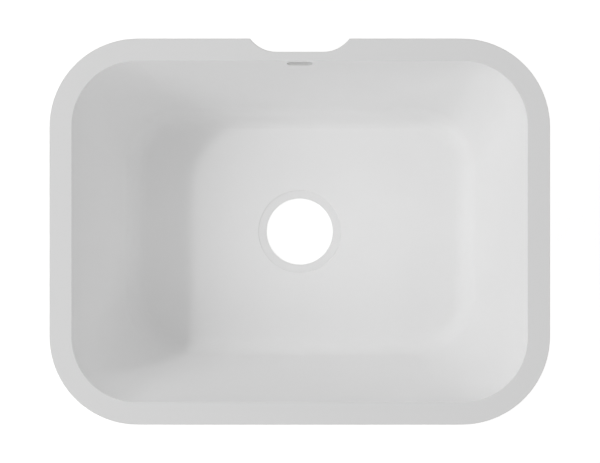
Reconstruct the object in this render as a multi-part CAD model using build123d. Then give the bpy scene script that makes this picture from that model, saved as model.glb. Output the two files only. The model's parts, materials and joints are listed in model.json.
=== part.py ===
from build123d import *
import math
import os

# An undermount kitchen sink: one cast bowl with a bonding flange, and the overflow fitting behind it.
# The bowl stands on its underside. Z is up, +Y is the back, where the flange is notched for the tap, and
# the origin is under the middle of the waste hole. Sizes are in millimetres and degrees.

# ---- bowl ----
opening_length = 547.5           # inside the rim, left to right
opening_width = 410.0            # inside the rim, front to back
bowl_corner_radius = 78.0        # the same from the rim down to the cove
flange_reach = 27.0              # flange beyond the opening, all round
flange_corner_radius = 106.0
flange_thickness = 12.0
bowl_depth = 200.0               # rim to floor
wall_draft = 12.4                # lean of each wall from upright
wall_thickness = 10.8            # square to the wall
floor_thickness = 12.0
cove_radius = 27.0               # inside, between wall and floor
flange_root_radius = 5.0         # outside, under the flange
rim_edge_radius = 0.8            # at the opening, where a hand or a dish meets the rim
flange_edge_radius = 0.8

# ---- notch in the back flange ----
notch_flat = 55.4                # straight bottom of the notch, cut back to the wall
notch_arc_radius = 40.4

# ---- waste hole and overflow slot ----
waste_diameter = 90.0
recess_diameter = 112.0          # seat for the strainer's flange
recess_depth = 1.2
recess_edge_radius = 0.6
slot_length = 31.0
slot_height = 12.0
slot_below_rim = 4.0

# ---- overflow hood, measured down the wall from the rim ----
hood_below_rim = 2.5
hood_height = 95.0
hood_corner_radius = 8.0
hood_plate_thickness = 2.5
hood_skin = 2.2
hood_edge_radius = 4.0
cowl_spare = 1.8                 # inside the cowl, beyond each end of the scoop
side_land = 12.0                 # plate and gasket left on each side of the cowl
cowl_margin = 4.5                # plate left above and below the cowl
cowl_shoulder = 7.0              # height of the cowl's face below its slope
gasket_thickness = 1.0
gasket_end_land = 2.2            # gasket left above and below its window
hood_clearance = 0.4             # round the plate in its rebate
scoop_depth = 3.0                # cut into the wall behind the slot
scoop_drop = 18.0                # how far the scoop slopes out below the slot
scoop_overhang = 1.5             # scoop beyond each end of the slot

# ---- fasteners: M4 screws in brass inserts ----
screw_inset = 6.0                # in from the hood's side edges
upper_screws = 24.0              # below the hood's top edge
lower_screws = 11.0              # above its bottom edge
screw_diameter = 4.0
screw_length = 8.0
screw_head_diameter = 7.6
screw_head_height = 2.2
screw_head_radius = 1.4
key_across_flats = 2.5
key_depth = 1.3
washer_diameter = 9.0
washer_thickness = 0.8
insert_diameter = 5.6
insert_length = 4.6
insert_hole_spare = 0.2
screw_play = 0.25                # radial, in the hood, gasket and washer
thread_play = 0.05               # radial, in the insert
insert_play = 0.05               # radial, in the wall

# ---- swivelling outlet elbow and its socket ----
spigot_diameter = 20.0           # takes a 20 mm overflow hose
spigot_length = 24.0
spigot_chamfer = 1.2
elbow_wall = 2.0
bend_radius = 14.0
stub_diameter = 22.8
stub_length = 18.0
collar_diameter = 28.0
collar_thickness = 3.0
neck_length = 3.0                # straight, between the collar and the bend
socket_skin = 2.5
socket_length = 20.0
socket_wall_gap = 0.5            # socket clear of the bowl
swivel_play = 0.1                # radial, stub in socket
collar_gap = 0.3                 # axial, collar under socket

# ---- O-rings and retaining clip, measured up from the socket's lower end ----
ring_section = 1.8
upper_ring = 14.6
lower_ring = 10.6
ring_play = 0.05
clip_height = 5.0
clip_wire = 1.8
clip_groove_depth = 1.2
clip_play = 0.05                 # between the clip's legs and the bottom of the groove
clip_slot_play = 0.2
clip_corner_radius = 3.0
clip_overhang = 3.0              # bridge of the clip beyond the socket
clip_tip = 1.0                   # legs beyond the socket

cut_past = 1.0                   # how far a cutting body runs past the faces that it cuts

# ---- worked out ----
draft = math.radians(wall_draft)
rim_z = bowl_depth + floor_thickness
wall_across = wall_thickness / math.cos(draft)
wall_back_y = opening_width / 2 + wall_across
flange_length = opening_length + 2 * flange_reach
flange_width = opening_width + 2 * flange_reach
rebate_depth = gasket_thickness + hood_plate_thickness
scoop_width = slot_length + 2 * scoop_overhang
cowl_width = scoop_width + 2 * cowl_spare + 2 * hood_skin
hood_width = cowl_width + 2 * side_land
hood_bottom = hood_below_rim + hood_height
cowl_top = hood_below_rim + cowl_margin
cowl_bottom = hood_bottom - cowl_margin
socket_bore_radius = stub_diameter / 2 + swivel_play
socket_radius = socket_bore_radius + socket_skin
outlet_out = socket_wall_gap + socket_radius
cowl_depth = outlet_out + socket_radius
ring_radius = socket_bore_radius - ring_play - ring_section / 2
clip_groove_radius = stub_diameter / 2 - clip_groove_depth
clip_leg_x = clip_groove_radius + clip_play + clip_wire / 2
clip_slot_size = clip_wire + 2 * clip_slot_play

# Everything on the back wall is placed in the plane of the wall's outer face. Its origin is at the rim, its
# X points left, as seen from the front, its Y runs up the wall and its Z points out of it.
wall_plane = Plane(origin=(0, wall_back_y, rim_z), x_dir=(-1, 0, 0),
                   z_dir=(0, math.cos(draft), -math.sin(draft)))

# The elbow swivels about the Z of the outlet's plane, whose origin is at the socket's lower end. Its X
# points to the right of the sink and its Y out of the wall.
outlet_plane = Plane(origin=wall_plane.from_local_coords(Vector(0, -cowl_bottom - socket_length, outlet_out)),
                     x_dir=(1, 0, 0), z_dir=wall_plane.y_dir)


def bowl_outline(down, grow):
    """Rounded rectangle of the bowl at a depth below the rim, grown outwards from the inside face."""
    inset = down * math.tan(draft)
    length = opening_length - 2 * inset + 2 * grow
    width = opening_width - 2 * inset + 2 * grow
    return Pos(0, 0, rim_z - down) * RectangleRounded(length, width, bowl_corner_radius + grow)


def bowl_block(depth, grow, cove):
    """Tapered block with rounded corners and a rounded bottom edge."""
    block = loft([bowl_outline(0, grow), bowl_outline(depth, grow)], ruled=True)
    bottom = block.faces().sort_by(Axis.Z)[0]
    return fillet(bottom.edges(), cove)


def notch_outline():
    """Plan of the notch: a straight bottom along the wall, and an arc out of the flange at each end."""
    half = notch_flat / 2
    rise = flange_width / 2 - wall_back_y
    turn = math.acos(1 - rise / notch_arc_radius)
    inner, back = wall_back_y, wall_back_y + rise

    def on_arc(angle):
        return half + notch_arc_radius * math.sin(angle), inner + notch_arc_radius * (1 - math.cos(angle))

    end = on_arc(turn)[0]
    middle = on_arc(turn / 2)
    return make_face([Line((-half, inner), (half, inner)),
                      ThreePointArc((half, inner), middle, (end, back)),
                      Line((end, back), (-end, back)),
                      ThreePointArc((-end, back), (-middle[0], middle[1]), (-half, inner))])


def flange():
    """Flat flange round the top of the bowl, notched at the back."""
    outline = RectangleRounded(flange_length, flange_width, flange_corner_radius) - notch_outline()
    return Pos(0, 0, rim_z) * extrude(outline, -flange_thickness)


def on_wall(down, out, across=0.0):
    """Place on the back wall: a distance down from the rim, out of the wall and across it."""
    return wall_plane * Pos(across, -down, out)


def wall_sheet(width, top, bottom, low, high, corner):
    """Sheet with rounded corners on the back wall, from top to bottom and from low to high out of it."""
    outline = RectangleRounded(width, bottom - top, corner)
    return on_wall((top + bottom) / 2, low) * extrude(outline, high - low)


def wall_rod(place, radius, low, high):
    """Round bar square to the back wall, from low to high out of it."""
    across, down = place
    return on_wall(down, (low + high) / 2, across) * Cylinder(radius, high - low)


def wall_wedge(points, width):
    """Solid with one outline all across the wall. Its points are (down from the rim, out of the wall)."""
    side = Plane(origin=wall_plane.origin, x_dir=-wall_plane.y_dir, z_dir=-wall_plane.x_dir)
    return extrude(side * make_face(Polyline(*points, close=True)), width / 2, both=True)


def down_wall(depth, out):
    """Distance down the wall of a point at a depth below the rim and a distance out of the wall."""
    return (depth - out * math.sin(draft)) / math.cos(draft)


def screw_places():
    """Name of each hood screw and its place, across and down the wall, as seen from behind the sink."""
    side = hood_width / 2 - screw_inset
    sides = {"left": -side, "right": side}
    rows = {"upper": hood_below_rim + upper_screws, "lower": hood_bottom - lower_screws}
    return {f"{row}_{side}": (across, down) for row, down in rows.items() for side, across in sides.items()}


def screw_hole(place, low, high):
    """Clearance hole for a hood screw, through what lies from low to high out of the wall."""
    return wall_rod(place, screw_diameter / 2 + screw_play, low - cut_past, high + cut_past)


def overflow_passage():
    """Level slot through the back wall, and the scoop behind it that drops the water into the hood."""
    slot_z = rim_z - slot_below_rim - slot_height / 2
    level = Plane(origin=(0, wall_back_y, slot_z), x_dir=(-1, 0, 0), z_dir=(0, 1, 0))
    slot = extrude(level * SlotOverall(slot_length, slot_height), 2 * wall_across, both=True)
    floor = -rebate_depth
    deepest = floor - scoop_depth
    top = down_wall(slot_below_rim, floor)
    bottom = down_wall(slot_below_rim + slot_height, deepest)
    scoop = wall_wedge([(top, 0), (top, deepest), (bottom, deepest), (bottom + scoop_drop, floor),
                        (bottom + scoop_drop, 0)], scoop_width)
    return slot + scoop


def hood_rebate():
    """Flat pocket in the back wall that the gasket and the hood's plate lie in."""
    gap = hood_clearance
    return wall_sheet(hood_width + 2 * gap, hood_below_rim - gap, hood_bottom + gap,
                      -rebate_depth, flange_reach, hood_corner_radius + gap)


def waste_cut():
    """Waste hole, and the shallow seat round it for the strainer's flange."""
    hole = Cylinder(waste_diameter / 2, 3 * floor_thickness)
    seat = Cylinder(recess_diameter / 2, 2 * recess_depth)
    seat = fillet(seat.edges().sort_by(Axis.Z)[0], recess_edge_radius)
    return hole + Pos(0, 0, floor_thickness) * seat


def make_bowl():
    """The cast bowl: flange, walls, coved floor, waste seat, overflow slot and the hood's rebate."""
    body = bowl_block(rim_z, wall_across, cove_radius + wall_thickness) + flange()
    underside = body.faces().filter_by(Plane.XY).sort_by(lambda face: face.center().Z)[-2]
    body = fillet(underside.inner_wires()[0].edges(), flange_root_radius)
    body -= bowl_block(bowl_depth, 0, cove_radius)
    rim = body.faces().sort_by(Axis.Z)[-1]
    body = fillet(rim.inner_wires()[0].edges(), rim_edge_radius)
    rim = body.faces().sort_by(Axis.Z)[-1]
    body = fillet(rim.outer_wire().edges(), flange_edge_radius)
    body -= [waste_cut(), hood_rebate(), overflow_passage()]
    for place in screw_places().values():
        body -= wall_rod(place, insert_diameter / 2 + insert_play,
                         -rebate_depth - insert_length - insert_hole_spare, 0)
    return body


def cowl_block():
    """Outside of the cowl: a wedge that grows out of the wall downwards, with rounded outer edges."""
    behind = -2 * hood_edge_radius
    shoulder = cowl_bottom - cowl_shoulder
    block = wall_wedge([(cowl_top, behind), (cowl_top, 0), (shoulder, cowl_depth), (cowl_bottom, cowl_depth),
                        (cowl_bottom, behind)], cowl_width)
    outer = [edge for edge in block.edges() if wall_plane.to_local_coords(edge.center()).Z > hood_clearance]
    block = fillet(outer, hood_edge_radius)
    front_of_plate_back = wall_sheet(2 * hood_width, 0, 2 * hood_height,
                                     -hood_plate_thickness, 2 * cowl_depth, hood_corner_radius)
    return block & front_of_plate_back


def cowl_hollow():
    """Water way inside the cowl, open to the wall and one skin thinner than its outside."""
    slope = cowl_depth / (cowl_bottom - cowl_shoulder - cowl_top)
    slope_skin = hood_skin * math.hypot(1, slope)
    depth = cowl_depth - hood_skin
    shoulder = cowl_top + (depth + slope_skin) / slope
    bottom = cowl_bottom - hood_skin
    behind = -2 * hood_plate_thickness
    return wall_wedge([(cowl_top, behind), (cowl_top, -slope_skin), (shoulder, depth), (bottom, depth),
                       (bottom, behind)], cowl_width - 2 * hood_skin)


def outlet_rod(radius, low, high):
    """Round bar on the swivel axis, in the outlet's own frame."""
    return Pos(0, 0, (low + high) / 2) * Cylinder(radius, high - low)


def make_hood():
    """Moulded hood: a plate in the rebate, a hollow cowl over the slot, and the elbow's socket below."""
    body = wall_sheet(hood_width, hood_below_rim, hood_bottom, -hood_plate_thickness, 0, hood_corner_radius)
    body += cowl_block()
    body += outlet_plane * outlet_rod(socket_radius, 0, socket_length + hood_skin)
    body -= cowl_hollow()
    body -= outlet_plane * outlet_rod(socket_bore_radius, -cut_past, socket_length + 2 * hood_skin)
    clip_slot = Box(clip_slot_size, 2 * (socket_radius + cut_past), clip_slot_size)
    for side in (-1, 1):
        body -= outlet_plane * Pos(side * clip_leg_x, 0, clip_height) * clip_slot
    for place in screw_places().values():
        body -= screw_hole(place, -hood_plate_thickness, 0)
    return body


def make_gasket():
    """Flat rubber gasket under the hood's plate, open over the slot and the cowl."""
    back, front = -rebate_depth, -hood_plate_thickness
    body = wall_sheet(hood_width, hood_below_rim, hood_bottom, back, front, hood_corner_radius)
    body -= wall_sheet(cowl_width, hood_below_rim + gasket_end_land, hood_bottom - gasket_end_land,
                       back - cut_past, front + cut_past, gasket_end_land)
    for place in screw_places().values():
        body -= screw_hole(place, back, front)
    return body


def make_screw(place):
    """Button-head screw with a hexagon socket, its head on the washer."""
    seat = washer_thickness
    head = wall_rod(place, screw_head_diameter / 2, seat, seat + screw_head_height)
    crown = head.edges().sort_by(lambda edge: wall_plane.to_local_coords(edge.center()).Z)[-1]
    head = fillet(crown, screw_head_radius)
    across, down = place
    key = extrude(RegularPolygon(key_across_flats / 2, 6, major_radius=False), key_depth)
    head -= on_wall(down, seat + screw_head_height - key_depth, across) * key
    return head + wall_rod(place, screw_diameter / 2, seat - screw_length, seat)


def make_washer(place):
    """Plain washer on the hood's plate."""
    disc = wall_rod(place, washer_diameter / 2, 0, washer_thickness)
    return disc - screw_hole(place, 0, washer_thickness)


def make_insert(place):
    """Threaded brass insert, cast or pressed into the wall under the gasket."""
    back, front = -rebate_depth - insert_length, -rebate_depth
    barrel = wall_rod(place, insert_diameter / 2, back, front)
    return barrel - wall_rod(place, screw_diameter / 2 + thread_play, back - cut_past, front + cut_past)


def bent_rod(radius, top, length):
    """Round bar down the swivel axis, round the bend and out along the spigot."""
    bend_top = -collar_gap - collar_thickness - neck_length
    centre_z = bend_top - bend_radius
    sag = bend_radius * (1 - math.cos(math.pi / 4))
    path = Wire([Line((0, 0, top), (0, 0, bend_top)),
                 ThreePointArc((0, 0, bend_top), (sag, 0, centre_z + sag), (bend_radius, 0, centre_z)),
                 Line((bend_radius, 0, centre_z), (bend_radius + length, 0, centre_z))])
    return sweep(Plane(origin=(0, 0, top), z_dir=(0, 0, -1)) * Circle(radius), path=path)


def ring_groove(height, width, floor_radius):
    """Square groove round the stub, as the ring of material that it takes away."""
    return (outlet_rod(stub_diameter, height - width / 2, height + width / 2)
            - outlet_rod(floor_radius, height - width, height + width))


def make_elbow():
    """Outlet elbow: a grooved stub in the socket, a collar under it and a spigot for the hose."""
    collar_top = -collar_gap
    body = bent_rod(spigot_diameter / 2, collar_top, spigot_length)
    mouth = body.faces().sort_by(Axis.X)[-1]
    body = chamfer(mouth.edges(), spigot_chamfer)
    body += outlet_rod(stub_diameter / 2, collar_top - collar_thickness, stub_length)
    body += outlet_rod(collar_diameter / 2, collar_top - collar_thickness, collar_top)
    for height in (upper_ring, lower_ring):
        body -= ring_groove(height, ring_section + 2 * ring_play, ring_radius - ring_section / 2 - ring_play)
    body -= ring_groove(clip_height, clip_slot_size, clip_groove_radius)
    body -= bent_rod(spigot_diameter / 2 - elbow_wall, stub_length + cut_past, spigot_length + cut_past)
    return outlet_plane * body


def make_ring(height):
    """Rubber O-ring in the stub's groove."""
    return outlet_plane * Pos(0, 0, height) * Torus(ring_radius, ring_section / 2)


def make_clip():
    """Spring-wire clip: two legs through the socket, in the stub's groove, and a bridge outside."""
    chord = math.sqrt(socket_radius ** 2 - clip_leg_x ** 2)
    tip = -chord - clip_tip
    bridge = socket_radius + clip_overhang
    path = FilletPolyline((-clip_leg_x, tip), (-clip_leg_x, bridge), (clip_leg_x, bridge), (clip_leg_x, tip),
                          radius=clip_corner_radius)
    wire = sweep(Plane(origin=(-clip_leg_x, tip, 0), z_dir=(0, 1, 0)) * Circle(clip_wire / 2), path=path)
    return outlet_plane * Pos(0, 0, clip_height) * wire


def make_parts():
    """Every piece of the sink by name."""
    parts = {
        "bowl": make_bowl(),
        "overflow_hood": make_hood(),
        "hood_gasket": make_gasket(),
        "outlet_elbow": make_elbow(),
        "elbow_o_ring_upper": make_ring(upper_ring),
        "elbow_o_ring_lower": make_ring(lower_ring),
        "elbow_clip": make_clip(),
    }
    for name, place in screw_places().items():
        parts[f"hood_screw_{name}"] = make_screw(place)
        parts[f"hood_washer_{name}"] = make_washer(place)
        parts[f"thread_insert_{name}"] = make_insert(place)
    return parts


os.makedirs("parts", exist_ok=True)
for name, part in make_parts().items():
    part.label = name
    export_step(part, f"parts/{name}.step")
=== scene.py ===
# %% [markdown]
# # The finishes of an undermount kitchen sink
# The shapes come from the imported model: a cast bowl, and the overflow fitting that is screwed to its back.
# This lesson adds what a model of shapes lacks: a camera, studio light, a floor, and a finish for each
# piece, built from nodes alone. The bowl fills the picture, so most of the care goes into how white stone
# takes light.

# %% Load the model
import json
import math

import bpy
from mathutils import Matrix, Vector


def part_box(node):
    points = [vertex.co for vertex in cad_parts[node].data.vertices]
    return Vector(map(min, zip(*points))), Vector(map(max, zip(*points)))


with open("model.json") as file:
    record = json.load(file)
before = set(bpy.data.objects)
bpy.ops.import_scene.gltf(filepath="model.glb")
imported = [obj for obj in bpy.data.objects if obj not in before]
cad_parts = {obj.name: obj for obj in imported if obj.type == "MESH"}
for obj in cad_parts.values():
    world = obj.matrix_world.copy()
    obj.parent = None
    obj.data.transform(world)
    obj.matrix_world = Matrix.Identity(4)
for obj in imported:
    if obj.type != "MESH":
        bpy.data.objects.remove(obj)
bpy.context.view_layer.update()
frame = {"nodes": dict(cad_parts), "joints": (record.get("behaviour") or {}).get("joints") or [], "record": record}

# %% [markdown]
# ## Sizes
# Blender measures in metres, and the sizes that a maker quotes are in millimetres, so one named value turns
# one into the other. What the finishes need to know about the shapes is read from the model: the height of
# the rim, the height of the seat round the waste hole, and the axis that the outlet elbow swivels on. The
# back wall leans, and the elbow's axis leans with it, so the way straight out of the wall is square to that
# axis.

# %% Sizes from the model
MM = 0.001
bowl_low, bowl_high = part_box("bowl")
rim_z = bowl_high.z
rim_centre = Vector((0, 0, rim_z))
mounts = {mount["name"]: Vector(mount["pos_m"]) for mount in frame["record"]["mounts"]}
seat_z = mounts["strainer_seat"].z
swivel_place = Vector(frame["joints"][0]["pos_m"])
swivel_axis = Vector(frame["joints"][0]["axis"])
out_of_wall = swivel_axis.cross(Vector((1, 0, 0)))
print(f"rim at {rim_z / MM:.0f} mm, seat at {seat_z / MM:.1f} mm, flange {2 * bowl_high.x / MM:.0f} mm long")

# %% [markdown]
# ## Camera
# The sink is seen from straight above, square to its rim. How far away the camera stands shows in one ratio:
# the floor is further than the rim, so it looks smaller, and the waste hole in it with it. A camera with no
# rotation looks straight down with +Y at the top of the picture, which is what we want here.

# %% Camera above the bowl
SENSOR_WIDTH = 36.0
CAMERA_HEIGHT = 1.579            # above the rim
PICTURE_WIDTH = 0.7207           # what the picture spans at the rim
CAMERA_OFFSET = (0.0003, 0.0001)

camera_data = bpy.data.cameras.new("camera")
camera_data.sensor_width = SENSOR_WIDTH
camera_data.lens = SENSOR_WIDTH * CAMERA_HEIGHT / PICTURE_WIDTH
camera = bpy.data.objects.new("camera", camera_data)
camera.location = (*CAMERA_OFFSET, rim_z + CAMERA_HEIGHT)
bpy.context.scene.collection.objects.link(camera)
bpy.context.scene.camera = camera
print(f"lens {camera_data.lens:.1f} mm")

# %% [markdown]
# ## Nodes
# A finish is a small tree of nodes. One function adds a node with its settings, the values of its sockets
# and the links into them, so a finish reads as a list of what it is made of. A socket goes by its name, or
# by its number where a node repeats a name. Colours are written as the hex values of a colour chart, which
# are sRGB, and one function turns them into the linear values that Blender works in.

# %% Helpers for colours and nodes
def linear(hex_colour):
    """Linear red, green, blue and alpha of an sRGB colour such as "#e4e4e4"."""
    channels = [int(hex_colour[start:start + 2], 16) / 255 for start in (1, 3, 5)]
    return [c / 12.92 if c <= 0.04045 else ((c + 0.055) / 1.055) ** 2.4 for c in channels] + [1.0]


def add(tree, kind, settings=None, values=None, links=None):
    """Add a node with its settings, its sockets' values and links. A linked node gives its first output."""
    made = tree.nodes.new(kind)
    for name, value in (settings or {}).items():
        setattr(made, name, value)
    for socket, value in (values or {}).items():
        made.inputs[socket].default_value = value
    for socket, source in (links or {}).items():
        output = source.outputs[0] if isinstance(source, bpy.types.Node) else source
        tree.links.new(output, made.inputs[socket])
    return made


finishes = {}


def new_finish(name):
    """Empty tree of a finish with this name, and the place on the piece, in the piece's own coordinates."""
    material = bpy.data.materials.new(name)
    material.use_nodes = True
    material.node_tree.nodes.clear()
    finishes[name] = material
    coordinates = add(material.node_tree, "ShaderNodeTexCoord")
    return material.node_tree, coordinates.outputs["Object"]


# %% [markdown]
# ## Light
# White things are lit with care, or they burn out. The shadow inside the bowl says where the main lamp is:
# the left rim throws its edge far across the floor and the back rim a little way forward, so the lamp stands
# high, to the left and behind. How soft the shadow's edge is says how large the lamp looks.

# %% Key lamp, placed by the shadow that it throws
KEY_HEIGHT = 2.85                # above the rim
SHADOW_ACROSS = 0.6405           # how far left the lamp goes for each metre up, from the left edge of the rim
SHADOW_FORWARD = 0.304           # and how far back, from the back edge of the rim
OPENING_HALF = Vector((273.8 * MM, 205 * MM))    # from the middle of the rim to its left and back edges
KEY_SIZE = 0.24                  # across its disk
KEY_POWER = 15.2                 # watts


def area_lamp(name, place, target, size, power, shape="SQUARE"):
    """Soft lamp that faces its target. The camera doesn't see it."""
    data = bpy.data.lights.new(name, "AREA")
    data.shape = shape
    data.size = size
    data.energy = power
    lamp = bpy.data.objects.new(name, data)
    lamp.location = place
    lamp.rotation_mode = "QUATERNION"
    lamp.rotation_quaternion = (Vector(target) - Vector(place)).to_track_quat("-Z", "Y")
    lamp.visible_camera = False
    bpy.context.scene.collection.objects.link(lamp)


key_place = Vector((-OPENING_HALF.x - SHADOW_ACROSS * KEY_HEIGHT,
                    OPENING_HALF.y + SHADOW_FORWARD * KEY_HEIGHT,
                    rim_z + KEY_HEIGHT))
area_lamp("key_lamp", key_place, rim_centre, KEY_SIZE, KEY_POWER, "DISK")
print("key lamp at", [round(c, 2) for c in key_place])

# %% [markdown]
# One lamp alone would leave the shaded side dark, so broad softboxes stand round the set and lift the walls.
# The left one is about twice as strong as any other, and that is what makes the right wall bright, the left
# one grey and the front one something in between, without another hard shadow.

# %% Softboxes round the set
SOFTBOX_DISTANCE = 3.6
SOFTBOX_SIZE = 1.6
softboxes = {                    # direction in degrees, 0 at +X and 90 at the back; rise in degrees; watts
    "softbox_back_right": (45, 40, 7.8),
    "softbox_back_left": (135, 40, 11.1),
    "softbox_left": (180, 40, 23.0),
    "softbox_front_left": (225, 40, 11.5),
    "softbox_front_right": (315, 40, 11.7),
    "high_softbox_front_right": (315, 65, 5.6),
    "low_softbox_back": (90, 15, 5.6),
    "low_softbox_front_left": (225, 15, 6.8),
    "low_softbox_front": (270, 15, 3.3),
}
for name, (compass, rise, power) in softboxes.items():
    turn, lift = math.radians(compass), math.radians(rise)
    direction = Vector((math.cos(turn) * math.cos(lift), math.sin(turn) * math.cos(lift), math.sin(lift)))
    area_lamp(name, rim_centre + direction * SOFTBOX_DISTANCE, rim_centre, SOFTBOX_SIZE, power)
print("softboxes:", len(softboxes))

# %% [markdown]
# The world does two jobs. For the rays that light matt surfaces it is a dim, even fill. For the rays that
# the camera, a mirror or a clear surface sends out it is plain white, so that the background is white and
# metal has something white to reflect, without any more light on the sink.

# %% World: an even fill, and white where it is seen
FILL_STRENGTH = 0.35
WHITE = (1.0, 1.0, 1.0, 1.0)


def seen_rays(tree):
    """One for rays of the camera, of mirrors and of clear things, and nought for those that only light."""
    rays = add(tree, "ShaderNodeLightPath")
    seen = add(tree, "ShaderNodeMath", {"operation": "ADD"},
               links={0: rays.outputs["Is Camera Ray"], 1: rays.outputs["Is Glossy Ray"]})
    return add(tree, "ShaderNodeMath", {"operation": "ADD", "use_clamp": True},
               links={0: seen, 1: rays.outputs["Is Transmission Ray"]})


world = bpy.data.worlds.new("studio_surround")
bpy.context.scene.world = world
world.use_nodes = True
tree = world.node_tree
tree.nodes.clear()
fill = add(tree, "ShaderNodeBackground", values={"Color": WHITE, "Strength": FILL_STRENGTH})
backdrop = add(tree, "ShaderNodeBackground", values={"Color": WHITE, "Strength": 1.0})
choice = add(tree, "ShaderNodeMixShader", links={"Fac": seen_rays(tree), 1: fill, 2: backdrop})
add(tree, "ShaderNodeOutputWorld", links={"Surface": choice})
print("world fill", FILL_STRENGTH)

# %% [markdown]
# ## Floor
# The sink stands on a plain pale table. Seen by the camera the table has to be as white as the background
# and still take the sink's shadow, so those rays get a glow that is nearly white plus a weak matt layer: in
# the open the sum is past white, and close to the sink it isn't. All other rays meet an ordinary pale floor.

# %% Pale floor
FLOOR_HALF = 3.0
FLOOR_GLOW = 0.83
PAPER = "#e6e6e6"
WEAK_PAPER = "#9c9c9c"

floor_mesh = bpy.data.meshes.new("studio_floor")
corners = [(x * FLOOR_HALF, y * FLOOR_HALF, bowl_low.z) for x, y in ((-1, -1), (1, -1), (1, 1), (-1, 1))]
floor_mesh.from_pydata(corners, [], [(0, 1, 2, 3)])
floor = bpy.data.objects.new("studio_floor", floor_mesh)
bpy.context.scene.collection.objects.link(floor)

tree, spot = new_finish("matt_white_paper")
paper = add(tree, "ShaderNodeBsdfDiffuse", values={"Color": linear(PAPER)})
weak_paper = add(tree, "ShaderNodeBsdfDiffuse", values={"Color": linear(WEAK_PAPER)})
glow = add(tree, "ShaderNodeEmission", values={"Color": WHITE, "Strength": FLOOR_GLOW})
seen_paper = add(tree, "ShaderNodeAddShader", links={0: weak_paper, 1: glow})
choice = add(tree, "ShaderNodeMixShader", links={"Fac": seen_rays(tree), 1: paper, 2: seen_paper})
add(tree, "ShaderNodeOutputMaterial", links={"Surface": choice})
floor_mesh.materials.append(finishes["matt_white_paper"])
print("floor", 2 * FLOOR_HALF, "m square")

# %% [markdown]
# ## Cast mineral-filled acrylic, for the bowl
# The bowl is solid surface: acrylic resin filled with aluminium hydrate, poured into a mould in one piece.
# The filler makes it dense white with no grain. Its four areas were finished in different ways:
# - Inside, it is sanded to an even finish that is almost matt.
# - The top of the flange is left coarse and flat, so that glue grips it. Its colour is a little greyer, which is
#   painted shade.
# - The seat round the waste hole is milled after casting. It is coloured a shade darker than the inside.
# - The outside is never seen in a kitchen and stays as it came from the mould.
#
# One material holds all four, because the bowl is one piece. Masks worked out from its own coordinates say
# which is where: two go by height, and the outside is wherever the surface faces away from a point over the
# bowl.

# %% Masks for the four areas of the bowl
SEAT_DEPTH = 1.2 * MM            # of the seat below the floor of the bowl
COARSE_FROM = 0.5 * MM           # below the rim, where the coarse flange starts on its rounded edge
COARSE_ALL = 0.1 * MM
OVER_BOWL = Vector((0, 0, rim_z + 40 * MM))
OUTSIDE_BLUR = 2 * MM            # how far the point lies behind a face's plane when that face is all outside

tree, spot = new_finish("cast_mineral_filled_acrylic")
height = add(tree, "ShaderNodeSeparateXYZ", links={0: spot}).outputs["Z"]
flange_top = add(tree, "ShaderNodeMapRange",
                 values={"From Min": rim_z - COARSE_FROM, "From Max": rim_z - COARSE_ALL},
                 links={"Value": height})
milled_seat = add(tree, "ShaderNodeMapRange", values={"From Min": seat_z + SEAT_DEPTH, "From Max": seat_z},
                  links={"Value": height})
from_over = add(tree, "ShaderNodeVectorMath", {"operation": "SUBTRACT"}, {1: OVER_BOWL}, {0: spot})
faces_away = add(tree, "ShaderNodeVectorMath", {"operation": "DOT_PRODUCT"},
                 links={0: from_over, 1: spot.node.outputs["Normal"]})
outside = add(tree, "ShaderNodeMapRange", values={"From Min": 0.0, "From Max": OUTSIDE_BLUR},
              links={"Value": faces_away.outputs["Value"]})
print("masks: flange top, milled seat, outside")

# %% [markdown]
# The colours differ by a few steps only. Inside, the sanding leaves a faint cloudiness the size of a hand.
# On the outside the wax that frees the casting from its mould dries to a greyer, duller bloom in patches.

# %% Colour of the bowl
SANDED_WHITE = "#f3f3f3"
CLOUDED_WHITE = "#f1f1f1"
# the seat round the waste hole is coloured a shade darker than the rest of the inside
DARKER_SEAT_WHITE = "#efefef"
# painted shade: the top of the flange is coloured greyer than the inside, so that it looks less lit
FLANGE_PAINTED_SHADE_GREY = "#e3e3e3"
AS_CAST = "#e9e9e7"
WAX_BLOOM = "#e2e2df"
CLOUD_SIZE = 60 * MM
BLOOM_SIZE = 35 * MM
BLOOM_RANGE = (0.35, 0.7)        # of the noise, from bare to fully bloomed

clouds = add(tree, "ShaderNodeTexNoise", values={"Scale": 1 / CLOUD_SIZE, "Detail": 3.0},
             links={"Vector": spot})
inside_colour = add(tree, "ShaderNodeMix", {"data_type": "RGBA"},
                    {6: linear(SANDED_WHITE), 7: linear(CLOUDED_WHITE)}, {0: clouds})
with_seat = add(tree, "ShaderNodeMix", {"data_type": "RGBA"}, {7: linear(DARKER_SEAT_WHITE)},
                {0: milled_seat, 6: inside_colour.outputs[2]})
# painted shade on the top of the flange, through the same mask as its grit and roughness
with_flange = add(tree, "ShaderNodeMix", {"data_type": "RGBA"}, {7: linear(FLANGE_PAINTED_SHADE_GREY)},
                  {0: flange_top, 6: with_seat.outputs[2]})
wax_noise = add(tree, "ShaderNodeTexNoise", values={"Scale": 1 / BLOOM_SIZE, "Detail": 3.0},
                links={"Vector": spot})
wax = add(tree, "ShaderNodeMapRange", values={"From Min": BLOOM_RANGE[0], "From Max": BLOOM_RANGE[1]},
          links={"Value": wax_noise})
outside_colour = add(tree, "ShaderNodeMix", {"data_type": "RGBA"}, {6: linear(AS_CAST), 7: linear(WAX_BLOOM)},
                     {0: wax})
bowl_colour = add(tree, "ShaderNodeMix", {"data_type": "RGBA"},
                  links={0: outside, 6: with_flange.outputs[2], 7: outside_colour.outputs[2]})
print("colours:", SANDED_WHITE, DARKER_SEAT_WHITE, FLANGE_PAINTED_SHADE_GREY, AS_CAST)

# %% [markdown]
# Gloss and relief follow the same masks. A bump whose height is multiplied by its mask raises nothing where
# the mask is nought, so the grit stays on the flange and the pebble of the mould on the outside.

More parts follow.
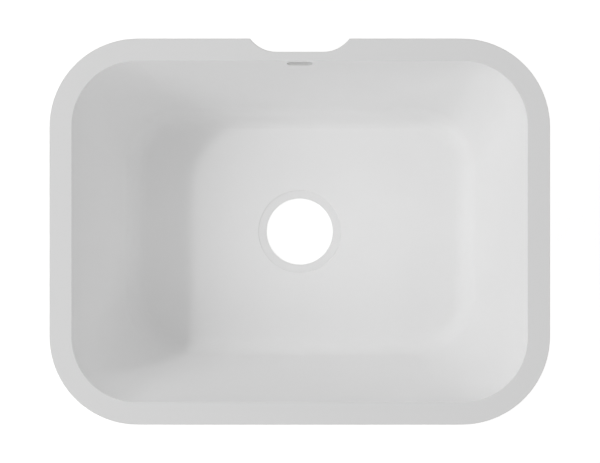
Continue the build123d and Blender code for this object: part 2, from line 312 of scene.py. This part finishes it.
# %% Gloss and relief of the bowl
ACRYLIC_IOR = 1.5
SANDED_ROUGHNESS = 0.9
COARSE_ROUGHNESS = 0.95
AS_CAST_ROUGHNESS = 0.42
BLOOM_ROUGHNESS = 0.62
GRIT_SIZE = 0.6 * MM             # 120 grit leaves marks 0.1 mm apart, drawn coarser so that they show
GRIT_DEPTH = 0.02 * MM
PEBBLE_SIZE = 3 * MM
PEBBLE_DEPTH = 0.3 * MM

waxed_roughness = add(tree, "ShaderNodeMapRange",
                      values={"To Min": AS_CAST_ROUGHNESS, "To Max": BLOOM_ROUGHNESS},
                      links={"Value": wax})
top_roughness = add(tree, "ShaderNodeMapRange",
                    values={"To Min": SANDED_ROUGHNESS, "To Max": COARSE_ROUGHNESS},
                    links={"Value": flange_top})
roughness = add(tree, "ShaderNodeMix", {"data_type": "FLOAT"},
                links={0: outside, 2: top_roughness, 3: waxed_roughness})
grit = add(tree, "ShaderNodeTexNoise", values={"Scale": 1 / GRIT_SIZE, "Detail": 2.0}, links={"Vector": spot})
grit_height = add(tree, "ShaderNodeMath", {"operation": "MULTIPLY"}, links={0: grit, 1: flange_top})
grit_relief = add(tree, "ShaderNodeBump", values={"Distance": GRIT_DEPTH}, links={"Height": grit_height})
pebble = add(tree, "ShaderNodeTexNoise", values={"Scale": 1 / PEBBLE_SIZE, "Detail": 1.0},
             links={"Vector": spot})
pebble_height = add(tree, "ShaderNodeMath", {"operation": "MULTIPLY"}, links={0: pebble, 1: outside})
relief = add(tree, "ShaderNodeBump", values={"Distance": PEBBLE_DEPTH},
             links={"Height": pebble_height, "Normal": grit_relief})
surface = add(tree, "ShaderNodeBsdfPrincipled", values={"IOR": ACRYLIC_IOR},
              links={"Base Color": bowl_colour.outputs[2], "Roughness": roughness, "Normal": relief})
add(tree, "ShaderNodeOutputMaterial", links={"Surface": surface})
print("finish: cast_mineral_filled_acrylic")

# %% [markdown]
# ## Moulded polypropylene, for the overflow hood
# Overflow fittings are injection moulded in polypropylene, because it stands hot water and cleaners. In its
# natural shade it is a milky white. The steel mould is spark eroded, which leaves a fine even texture that
# hides flow marks, so the gloss is soft. The plastic enters the mould through a gate in the middle of the
# hood's face, and where it is broken off stays a round mark, a little raised and whitened by the stress. The
# texture is far too fine for the mesh, and the mark is quick to place with nodes: it is the distance from a
# line through the middle of the face, straight out of the wall.

# %% Colour of the hood, with its gate mark
MILKY_WHITE = "#dddddb"
FLOW_SHADE = "#cfd0cd"
STRESS_WHITE = "#ececea"
FLOW_SIZE = 22 * MM              # where the melt cooled at different speeds
GATE_RADIUS = 1.8 * MM
GATE_EDGE = 0.4 * MM

hood_low, hood_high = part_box("overflow_hood")
gate_place = (hood_low + hood_high) / 2
tree, spot = new_finish("moulded_natural_polypropylene")
flow = add(tree, "ShaderNodeTexNoise", values={"Scale": 1 / FLOW_SIZE, "Detail": 3.0}, links={"Vector": spot})
body_colour = add(tree, "ShaderNodeMix", {"data_type": "RGBA"},
                  {6: linear(MILKY_WHITE), 7: linear(FLOW_SHADE)}, {0: flow})
from_gate = add(tree, "ShaderNodeVectorMath", {"operation": "SUBTRACT"}, {1: gate_place}, {0: spot})
aside = add(tree, "ShaderNodeVectorMath", {"operation": "CROSS_PRODUCT"}, {1: out_of_wall}, {0: from_gate})
gate_distance = add(tree, "ShaderNodeVectorMath", {"operation": "LENGTH"}, links={0: aside})
gate = add(tree, "ShaderNodeMapRange", {"interpolation_type": "SMOOTHSTEP"},
           {"From Min": GATE_RADIUS, "From Max": GATE_RADIUS - GATE_EDGE},
           {"Value": gate_distance.outputs["Value"]})
colour = add(tree, "ShaderNodeMix", {"data_type": "RGBA"}, {7: linear(STRESS_WHITE)},
             {0: gate, 6: body_colour.outputs[2]})
print("gate mark at", [round(c / MM) for c in gate_place], "mm")

# %% Gloss and relief of the hood
SPARK_SIZE = 0.8 * MM            # really 0.2 mm, drawn coarser so that it shows
SPARK_DEPTH = 0.06 * MM
SPARK_ROUGHNESS = (0.36, 0.5)    # in its hollows and on its tops
GATE_HEIGHT = 0.3 * MM
POLYPROPYLENE_IOR = 1.49

gate_relief = add(tree, "ShaderNodeBump", values={"Distance": GATE_HEIGHT}, links={"Height": gate})
spark = add(tree, "ShaderNodeTexNoise", values={"Scale": 1 / SPARK_SIZE, "Detail": 2.0},
            links={"Vector": spot})
relief = add(tree, "ShaderNodeBump", values={"Distance": SPARK_DEPTH},
             links={"Height": spark, "Normal": gate_relief})
roughness = add(tree, "ShaderNodeMapRange",
                values={"To Min": SPARK_ROUGHNESS[0], "To Max": SPARK_ROUGHNESS[1]},
                links={"Value": spark})
surface = add(tree, "ShaderNodeBsdfPrincipled", values={"IOR": POLYPROPYLENE_IOR},
              links={"Base Color": colour.outputs[2], "Roughness": roughness, "Normal": relief})
add(tree, "ShaderNodeOutputMaterial", links={"Surface": surface})
print("finish: moulded_natural_polypropylene")

# %% [markdown]
# ## Moulded grey polypropylene, for the outlet elbow
# The elbow is the same plastic with a little grey in it, from a polished mould, so it is glossier than the
# hood. The mould's two halves meet in the plane that holds both of the elbow's axes, and leave a fine raised
# line. The line is coloured paler: partly where the plastic was nipped, and partly as a painted glint along
# the ridge. The plane of the halves goes through the swivel's axis, square to the way out of the wall, so
# the distance from it, folded into a narrow ridge, is the line.

# %% Colour of the elbow, with its parting line
PALE_GREY = "#c9cac8"
GREY_SHADE = "#b9bbb9"
# paler along the parting ridge: partly stress whitening, partly a painted glint
NIPPED_GREY_AND_PAINTED_GLINT = "#dcdddb"
PARTING_HALF_WIDTH = 0.3 * MM    # really 0.1 mm, drawn wider so that it shows

tree, spot = new_finish("moulded_grey_polypropylene")
flow = add(tree, "ShaderNodeTexNoise", values={"Scale": 1 / FLOW_SIZE, "Detail": 3.0}, links={"Vector": spot})
body_colour = add(tree, "ShaderNodeMix", {"data_type": "RGBA"},
                  {6: linear(PALE_GREY), 7: linear(GREY_SHADE)}, {0: flow})
out = add(tree, "ShaderNodeVectorMath", {"operation": "DOT_PRODUCT"}, {1: out_of_wall}, {0: spot})
off_plane = add(tree, "ShaderNodeMath", {"operation": "SUBTRACT"}, {1: swivel_place.dot(out_of_wall)},
                {0: out.outputs["Value"]})
plane_distance = add(tree, "ShaderNodeMath", {"operation": "ABSOLUTE"}, links={0: off_plane})
ridge = add(tree, "ShaderNodeMapRange", {"interpolation_type": "SMOOTHSTEP"},
            {"From Min": PARTING_HALF_WIDTH, "From Max": 0.0}, {"Value": plane_distance})
# the ridge is coloured paler: nipped plastic and a painted glint
colour = add(tree, "ShaderNodeMix", {"data_type": "RGBA"}, {7: linear(NIPPED_GREY_AND_PAINTED_GLINT)},
             {0: ridge, 6: body_colour.outputs[2]})
print("parting line", 2 * PARTING_HALF_WIDTH / MM, "mm wide")

# %% Gloss and relief of the elbow
PARTING_HEIGHT = 0.15 * MM
POLISH_DEPTH = 0.015 * MM
POLISH_ROUGHNESS = (0.26, 0.36)

parting = add(tree, "ShaderNodeBump", values={"Distance": PARTING_HEIGHT}, links={"Height": ridge})
polish = add(tree, "ShaderNodeTexNoise", values={"Scale": 1 / SPARK_SIZE, "Detail": 2.0},
             links={"Vector": spot})
relief = add(tree, "ShaderNodeBump", values={"Distance": POLISH_DEPTH},
             links={"Height": polish, "Normal": parting})
roughness = add(tree, "ShaderNodeMapRange",
                values={"To Min": POLISH_ROUGHNESS[0], "To Max": POLISH_ROUGHNESS[1]},
                links={"Value": polish})
surface = add(tree, "ShaderNodeBsdfPrincipled", values={"IOR": POLYPROPYLENE_IOR},
              links={"Base Color": colour.outputs[2], "Roughness": roughness, "Normal": relief})
add(tree, "ShaderNodeOutputMaterial", links={"Surface": surface})
print("finish: moulded_grey_polypropylene")

# %% [markdown]
# ## Rubbers, for the gasket and the O-rings
# The gasket is cut from EPDM sheet: a soft charcoal, dead matt, with a grey bloom of the chalk that keeps
# sheets from sticking. The O-rings are moulded nitrile, blacker and smoother, and are fitted with silicone
# grease. The grease is a clear film over the rubber, which is what the coat of the shader stands for. The
# two differ in numbers alone, so one loop makes both.

# %% Finishes of the gasket and the O-rings
RUBBER_GRAIN = 0.7 * MM          # really 0.3 mm, drawn coarser so that it shows
rubbers = {                      # dark and pale shade, size of their patches, grain's depth, roughness, rest
    "epdm_sheet_rubber": ("#2a2a2c", "#404041", 6 * MM, 0.05 * MM, (0.74, 0.9), {"IOR": 1.5}),
    "greased_nitrile_rubber": ("#1c1c1e", "#252527", 3 * MM, 0.01 * MM, (0.45, 0.6),
                               {"IOR": 1.52, "Coat Weight": 0.5, "Coat Roughness": 0.15, "Coat IOR": 1.4}),
}
for name, (dark, pale, patch_size, depth, rough, constants) in rubbers.items():
    tree, spot = new_finish(name)
    patches = add(tree, "ShaderNodeTexNoise", values={"Scale": 1 / patch_size, "Detail": 4.0},
                  links={"Vector": spot})
    colour = add(tree, "ShaderNodeMix", {"data_type": "RGBA"}, {6: linear(dark), 7: linear(pale)},
                 {0: patches})
    grain = add(tree, "ShaderNodeTexNoise", values={"Scale": 1 / RUBBER_GRAIN, "Detail": 2.0},
                links={"Vector": spot})
    relief = add(tree, "ShaderNodeBump", values={"Distance": depth}, links={"Height": grain})
    roughness = add(tree, "ShaderNodeMapRange", values={"To Min": rough[0], "To Max": rough[1]},
                    links={"Value": grain})
    surface = add(tree, "ShaderNodeBsdfPrincipled", values=constants,
                  links={"Base Color": colour.outputs[2], "Roughness": roughness, "Normal": relief})
    add(tree, "ShaderNodeOutputMaterial", links={"Surface": surface})
    print("finish:", name)

# %% [markdown]
# ## Stainless steels, for the screws, washers and clip
# Three ways of making give one metal three levels of gloss. The screws are cold headed and then tumbled,
# which rounds off every mark and leaves a soft sheen. The washers are stamped from rolled sheet and keep its
# fine marks, so they look duller. The clip is drawn wire, nearly as bright as the die that drew it. A metal
# has no colour under its gloss: its base colour is the tint of what it reflects. Handling leaves patches
# that are a little rougher, and those show in the reflection before anything else does.

# %% Finishes of the steels
TOUCHED_SIZE = 3 * MM
steels = {                       # tint, size and depth of the marks, and the range of roughness
    "cold_headed_stainless_steel": ("#c2c3c4", 0.5 * MM, 0.006 * MM, (0.22, 0.38)),
    "stamped_stainless_steel": ("#c9cacb", 0.4 * MM, 0.012 * MM, (0.34, 0.48)),
    "drawn_stainless_spring_wire": ("#b9bbbd", 0.3 * MM, 0.003 * MM, (0.18, 0.3)),
}
for name, (tint, mark_size, depth, rough) in steels.items():
    tree, spot = new_finish(name)
    touched = add(tree, "ShaderNodeTexNoise", values={"Scale": 1 / TOUCHED_SIZE, "Detail": 4.0},
                  links={"Vector": spot})
    roughness = add(tree, "ShaderNodeMapRange", values={"To Min": rough[0], "To Max": rough[1]},
                    links={"Value": touched})
    marks = add(tree, "ShaderNodeTexNoise", values={"Scale": 1 / mark_size, "Detail": 2.0},
                links={"Vector": spot})
    relief = add(tree, "ShaderNodeBump", values={"Distance": depth}, links={"Height": marks})
    surface = add(tree, "ShaderNodeBsdfPrincipled", values={"Base Color": linear(tint), "Metallic": 1.0},
                  links={"Roughness": roughness, "Normal": relief})
    add(tree, "ShaderNodeOutputMaterial", links={"Surface": surface})
    print("finish:", name)

# %% [markdown]
# ## Turned brass, for the threaded inserts
# The inserts are turned from free-cutting brass bar. The tool leaves fine rings round the axis. All four
# axes point out of the wall, so the distance along that direction, run through a sine, draws the rings on
# each of them. Dull spots show where the resin of the bowl touched the brass.

# %% Finish of the inserts
BRIGHT_BRASS = "#cba552"
DULLED_BRASS = "#b08a3e"
TOOL_PITCH = 0.4 * MM            # really 0.1 mm, drawn coarser so that it shows
TOOL_DEPTH = 0.01 * MM
BRASS_ROUGHNESS = (0.22, 0.4)    # bright and dulled

tree, spot = new_finish("turned_brass")
dulled = add(tree, "ShaderNodeTexNoise", values={"Scale": 1 / TOUCHED_SIZE, "Detail": 4.0},
             links={"Vector": spot})
colour = add(tree, "ShaderNodeMix", {"data_type": "RGBA"}, {6: linear(BRIGHT_BRASS), 7: linear(DULLED_BRASS)},
             {0: dulled})
along = add(tree, "ShaderNodeVectorMath", {"operation": "DOT_PRODUCT"}, {1: out_of_wall}, {0: spot})
turns = add(tree, "ShaderNodeMath", {"operation": "MULTIPLY"}, {1: 2 * math.pi / TOOL_PITCH},
            {0: along.outputs["Value"]})
rings = add(tree, "ShaderNodeMath", {"operation": "SINE"}, links={0: turns})
relief = add(tree, "ShaderNodeBump", values={"Distance": TOOL_DEPTH}, links={"Height": rings})
roughness = add(tree, "ShaderNodeMapRange",
                values={"To Min": BRASS_ROUGHNESS[0], "To Max": BRASS_ROUGHNESS[1]},
                links={"Value": dulled})
surface = add(tree, "ShaderNodeBsdfPrincipled", values={"Metallic": 1.0},
              links={"Base Color": colour.outputs[2], "Roughness": roughness, "Normal": relief})
add(tree, "ShaderNodeOutputMaterial", links={"Surface": surface})
print("finish: turned_brass")

# %% [markdown]
# ## Finishes on their pieces
# The record says which material each piece is made of. Going by the record, and not by a second list of
# names, keeps the two in step: a piece that is added to the model gets its finish here without a line of new
# code.

# %% Give the finishes to the pieces
finish_of = {
    "solid_surface": "cast_mineral_filled_acrylic",
    "moulded_polypropylene": "moulded_natural_polypropylene",
    "elbow_polypropylene": "moulded_grey_polypropylene",
    "gasket_rubber": "epdm_sheet_rubber",
    "o_ring_rubber": "greased_nitrile_rubber",
    "spring_steel": "drawn_stainless_spring_wire",
    "stainless_screw": "cold_headed_stainless_steel",
    "stainless_washer": "stamped_stainless_steel",
    "brass": "turned_brass",
}
for part in frame["record"]["subparts"]:
    piece = frame["nodes"][part["node"]]
    piece.data.materials.clear()
    piece.data.materials.append(finishes[finish_of[part["material_slot"]]])
    print(f"{part['node']}: {finish_of[part['material_slot']]}")

# %% [markdown]
# ## Colour view
# Colours are shown as they are, with the Standard view transform.

bpy.context.scene.view_settings.view_transform = "Standard"
